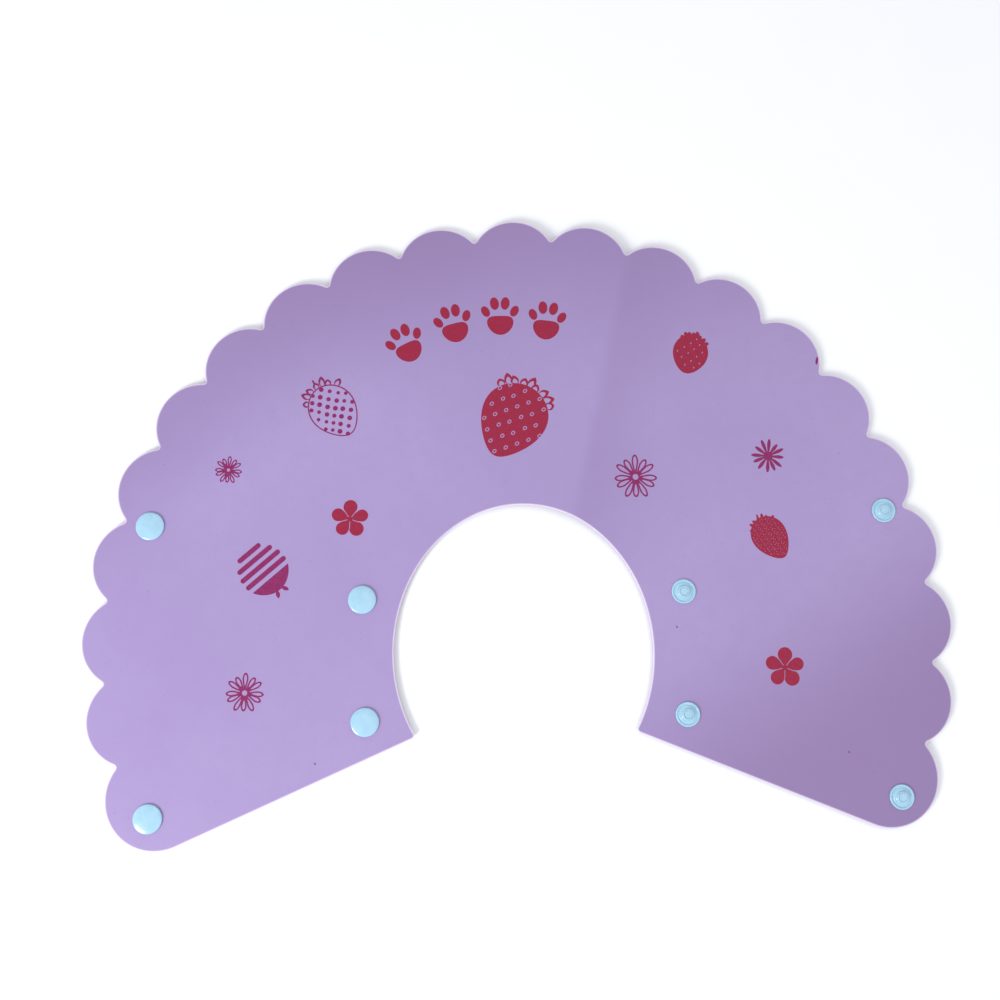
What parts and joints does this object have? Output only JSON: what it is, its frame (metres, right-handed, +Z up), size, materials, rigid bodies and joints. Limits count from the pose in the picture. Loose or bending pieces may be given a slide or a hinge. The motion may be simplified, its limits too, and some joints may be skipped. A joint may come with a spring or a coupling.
{
  "type": "elizabethan collar",
  "caption": "Flat plastic pet cone with a scalloped rim and a round neck opening; snap fasteners at both ends close it.",
  "frame": {"origin": "on the surface that the collar lies on, under the middle of its outline", "axes": "+Z up out of the printed face, +Y from the neck opening to the middle of the scalloped rim, X across the collar"},
  "size_m": [0.385, 0.2794, 0.0044],
  "materials": {
    "sheet": "satin, slightly translucent lilac sheet",
    "snap": "glossy pale blue moulding",
    "ink_red": "flat screen-printed red ink",
    "ink_plum": "flat screen-printed plum ink"
  },
  "bodies": {
    "middle": {"sheet_middle": "sheet"},
    "left_1": {"sheet_left_1": "sheet"},
    "left_2": {"sheet_left_2": "sheet"},
    "left_3": {"sheet_left_3": "sheet"},
    "left_4": {"sheet_left_4": "sheet"},
    "left_5": {"sheet_left_5": "sheet", "cap_left_second_neck": "snap", "socket_second_neck": "snap", "cap_left_second_rim": "snap", "socket_second_rim": "snap"},
    "left_6": {"sheet_left_6": "sheet"},
    "left_7": {"sheet_left_7": "sheet"},
    "left_8": {"sheet_left_8": "sheet", "cap_left_end_neck": "snap", "socket_end_neck": "snap", "cap_left_end_rim": "snap", "socket_end_rim": "snap"},
    "right_1": {"sheet_right_1": "sheet"},
    "right_2": {"sheet_right_2": "sheet"},
    "right_3": {"sheet_right_3": "sheet"},
    "right_4": {"sheet_right_4": "sheet"},
    "right_5": {"sheet_right_5": "sheet", "cap_right_second_neck": "snap", "stud_second_neck": "snap", "cap_right_second_rim": "snap", "stud_second_rim": "snap"},
    "right_6": {"sheet_right_6": "sheet"},
    "right_7": {"sheet_right_7": "sheet"},
    "right_8": {"sheet_right_8": "sheet", "cap_right_end_neck": "snap", "stud_end_neck": "snap", "cap_right_end_rim": "snap", "stud_end_rim": "snap"}
  },
  "joints": [
    {"name": "fold_left_1", "type": "hinge", "parent": "middle", "child": "left_1", "pos_m": [-0.01462, 0.05849, 0.0026], "axis": [-0.1219, 0.9925, 0], "range_deg": [0, 23.95], "stiffness_Nm_per_rad": 0.05},
    {"name": "fold_left_2", "type": "hinge", "parent": "left_1", "child": "left_2", "pos_m": [-0.043, 0.05142, 0.0026], "axis": [-0.3584, 0.9336, 0], "range_deg": [0, 23.95], "stiffness_Nm_per_rad": 0.05},
    {"name": "fold_left_3", "type": "hinge", "parent": "left_2", "child": "left_3", "pos_m": [-0.06883, 0.03769, 0.0026], "axis": [-0.5736, 0.8192, 0], "range_deg": [0, 23.95], "stiffness_Nm_per_rad": 0.05},
    {"name": "fold_left_4", "type": "hinge", "parent": "left_3", "child": "left_4", "pos_m": [-0.09057, 0.01811, 0.0026], "axis": [-0.7547, 0.6561, 0], "range_deg": [0, 23.95], "stiffness_Nm_per_rad": 0.05},
    {"name": "fold_left_5", "type": "hinge", "parent": "left_4", "child": "left_5", "pos_m": [-0.10256, 0.00243, 0.0026], "axis": [-0.891, 0.454, 0], "range_deg": [0, 23.95], "stiffness_Nm_per_rad": 0.05},
    {"name": "fold_left_6", "type": "hinge", "parent": "left_5", "child": "left_6", "pos_m": [-0.12293, -0.03056, 0.0026], "axis": [-0.9744, 0.225, 0], "range_deg": [0, 23.95], "stiffness_Nm_per_rad": 0.05},
    {"name": "fold_left_7", "type": "hinge", "parent": "left_6", "child": "left_7", "pos_m": [-0.12599, -0.05965, 0.0026], "axis": [-0.9998, -0.0175, 0], "range_deg": [0, 23.95], "stiffness_Nm_per_rad": 0.05},
    {"name": "fold_left_8", "type": "hinge", "parent": "left_7", "child": "left_8", "pos_m": [-0.12191, -0.08861, 0.0026], "axis": [-0.9659, -0.2588, 0], "range_deg": [0, 26.82], "stiffness_Nm_per_rad": 0.05},
    {"name": "fold_right_1", "type": "hinge", "parent": "middle", "child": "right_1", "pos_m": [0.01462, 0.05849, 0.0026], "axis": [-0.1219, -0.9925, 0], "range_deg": [0, 23.95], "stiffness_Nm_per_rad": 0.05},
    {"name": "fold_right_2", "type": "hinge", "parent": "right_1", "child": "right_2", "pos_m": [0.043, 0.05142, 0.0026], "axis": [-0.3584, -0.9336, 0], "range_deg": [0, 23.95], "stiffness_Nm_per_rad": 0.05},
    {"name": "fold_right_3", "type": "hinge", "parent": "right_2", "child": "right_3", "pos_m": [0.06883, 0.03769, 0.0026], "axis": [-0.5736, -0.8192, 0], "range_deg": [0, 23.95], "stiffness_Nm_per_rad": 0.05},
    {"name": "fold_right_4", "type": "hinge", "parent": "right_3", "child": "right_4", "pos_m": [0.09315, 0.01514, 0.0026], "axis": [-0.7547, -0.6561, 0], "range_deg": [0, 23.95], "stiffness_Nm_per_rad": 0.05},
    {"name": "fold_right_5", "type": "hinge", "parent": "right_4", "child": "right_5", "pos_m": [0.10483, -0.00795, 0.0026], "axis": [-0.891, -0.454, 0], "range_deg": [0, 23.95], "stiffness_Nm_per_rad": 0.05},
    {"name": "fold_right_6", "type": "hinge", "parent": "right_5", "child": "right_6", "pos_m": [0.11484, -0.03543, 0.0026], "axis": [-0.9744, -0.225, 0], "range_deg": [0, 23.95], "stiffness_Nm_per_rad": 0.05},
    {"name": "fold_right_7", "type": "hinge", "parent": "right_6", "child": "right_7", "pos_m": [0.1179, -0.06452, 0.0026], "axis": [-0.9998, 0.0175, 0], "range_deg": [0, 23.95], "stiffness_Nm_per_rad": 0.05},
    {"name": "fold_right_8", "type": "hinge", "parent": "right_7", "child": "right_8", "pos_m": [0.11382, -0.09348, 0.0026], "axis": [-0.9659, 0.2588, 0], "range_deg": [0, 23.95], "stiffness_Nm_per_rad": 0.05}
  ],
  "couplings": [
    {"joint": "fold_left_2", "follows": "fold_left_1", "ratio": 1},
    {"joint": "fold_left_3", "follows": "fold_left_1", "ratio": 1},
    {"joint": "fold_left_4", "follows": "fold_left_1", "ratio": 1},
    {"joint": "fold_left_5", "follows": "fold_left_1", "ratio": 1},
    {"joint": "fold_left_6", "follows": "fold_left_1", "ratio": 1},
    {"joint": "fold_left_7", "follows": "fold_left_1", "ratio": 1},
    {"joint": "fold_left_8", "follows": "fold_left_1", "ratio": 1.12},
    {"joint": "fold_right_1", "follows": "fold_left_1", "ratio": 1},
    {"joint": "fold_right_2", "follows": "fold_left_1", "ratio": 1},
    {"joint": "fold_right_3", "follows": "fold_left_1", "ratio": 1},
    {"joint": "fold_right_4", "follows": "fold_left_1", "ratio": 1},
    {"joint": "fold_right_5", "follows": "fold_left_1", "ratio": 1},
    {"joint": "fold_right_6", "follows": "fold_left_1", "ratio": 1},
    {"joint": "fold_right_7", "follows": "fold_left_1", "ratio": 1},
    {"joint": "fold_right_8", "follows": "fold_left_1", "ratio": 1}
  ]
}
